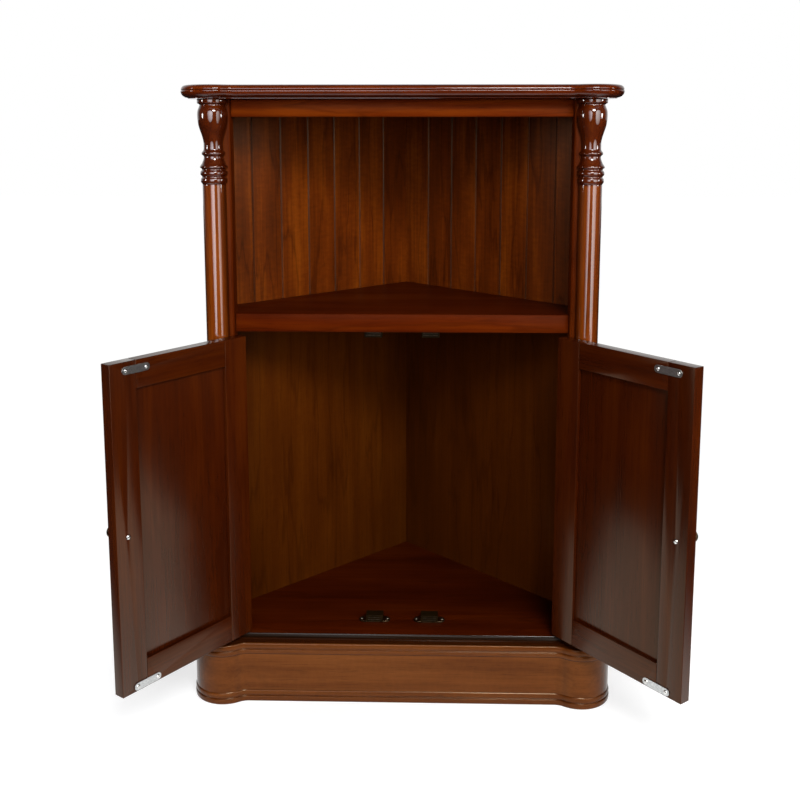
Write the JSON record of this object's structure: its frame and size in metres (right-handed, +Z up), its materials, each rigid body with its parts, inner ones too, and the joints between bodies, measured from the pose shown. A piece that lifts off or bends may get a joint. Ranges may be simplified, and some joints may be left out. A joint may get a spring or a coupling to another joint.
{
  "type": "corner accent cabinet",
  "caption": "Corner cabinet in dark gloss wood: an open bay with V-grooved backs between turned half columns, over a cupboard with a pair of panelled doors on an eared plinth.",
  "frame": {"origin": "on the floor, midway between the two doors, in the plane of the stiles' faces", "axes": "+Z up; +X to the right, seen from the front; +Y back to the room's corner"},
  "size_m": [0.8789, 0.6401, 1.028],
  "materials": {
    "lacquered_mahogany": "clear gloss lacquer over reddish-brown stain",
    "lacquered_plinth": "clear gloss lacquer over golden-brown stain",
    "stained_back": "satin stain, flat-sawn grain",
    "unfinished_softwood": "planed and left bare",
    "plated_steel": "bright plating, lightly worn",
    "antique_bronze": "dark bronze plating",
    "brown_plastic": "moulded, satin"
  },
  "bodies": {
    "case": {"top_board": "lacquered_mahogany", "top_rail": "lacquered_mahogany", "shelf": "lacquered_mahogany", "floor_board": "lacquered_mahogany", "plinth_cap": "lacquered_plinth", "plinth_frieze": "lacquered_plinth", "plinth_base": "lacquered_plinth", "plinth_front_block": "unfinished_softwood", "plinth_back_block": "unfinished_softwood", "left_stile": "lacquered_mahogany", "left_column": "lacquered_mahogany", "left_side_board": "lacquered_mahogany", "left_grooved_back": "stained_back", "left_lower_back": "stained_back", "left_plinth_back": "unfinished_softwood", "left_top_cleat": "unfinished_softwood", "left_floor_catch": "brown_plastic", "left_shelf_catch": "brown_plastic", "left_lower_hinge_case_leaf": "antique_bronze", "left_lower_hinge_pin": "antique_bronze", "left_upper_hinge_case_leaf": "antique_bronze", "left_upper_hinge_pin": "antique_bronze", "right_stile": "lacquered_mahogany", "right_column": "lacquered_mahogany", "right_side_board": "lacquered_mahogany", "right_grooved_back": "stained_back", "right_lower_back": "stained_back", "right_plinth_back": "unfinished_softwood", "right_top_cleat": "unfinished_softwood", "right_floor_catch": "brown_plastic", "right_shelf_catch": "brown_plastic", "right_lower_hinge_case_leaf": "antique_bronze", "right_lower_hinge_pin": "antique_bronze", "right_upper_hinge_case_leaf": "antique_bronze", "right_upper_hinge_pin": "antique_bronze"},
    "left_door": {"left_door_hinge_stile": "lacquered_mahogany", "left_door_free_stile": "lacquered_mahogany", "left_door_top_rail": "lacquered_mahogany", "left_door_bottom_rail": "lacquered_mahogany", "left_door_panel": "lacquered_mahogany", "left_door_knob": "antique_bronze", "left_door_knob_screw": "plated_steel", "left_door_lower_strike": "plated_steel", "left_door_upper_strike": "plated_steel", "left_lower_hinge_door_leaf": "antique_bronze", "left_upper_hinge_door_leaf": "antique_bronze"},
    "right_door": {"right_door_hinge_stile": "lacquered_mahogany", "right_door_free_stile": "lacquered_mahogany", "right_door_top_rail": "lacquered_mahogany", "right_door_bottom_rail": "lacquered_mahogany", "right_door_panel": "lacquered_mahogany", "right_door_knob": "antique_bronze", "right_door_knob_screw": "plated_steel", "right_door_lower_strike": "plated_steel", "right_door_upper_strike": "plated_steel", "right_lower_hinge_door_leaf": "antique_bronze", "right_upper_hinge_door_leaf": "antique_bronze"}
  },
  "joints": [
    {"name": "left_door_hinge", "type": "hinge", "parent": "case", "child": "left_door", "pos_m": [-0.27205, 0.005, 0], "axis": [0, 0, -1], "range_deg": [-125.6, 5.9]},
    {"name": "right_door_hinge", "type": "hinge", "parent": "case", "child": "right_door", "pos_m": [0.27205, 0.005, 0], "axis": [0, 0, 1], "range_deg": [-127.8, 3.7]}
  ]
}
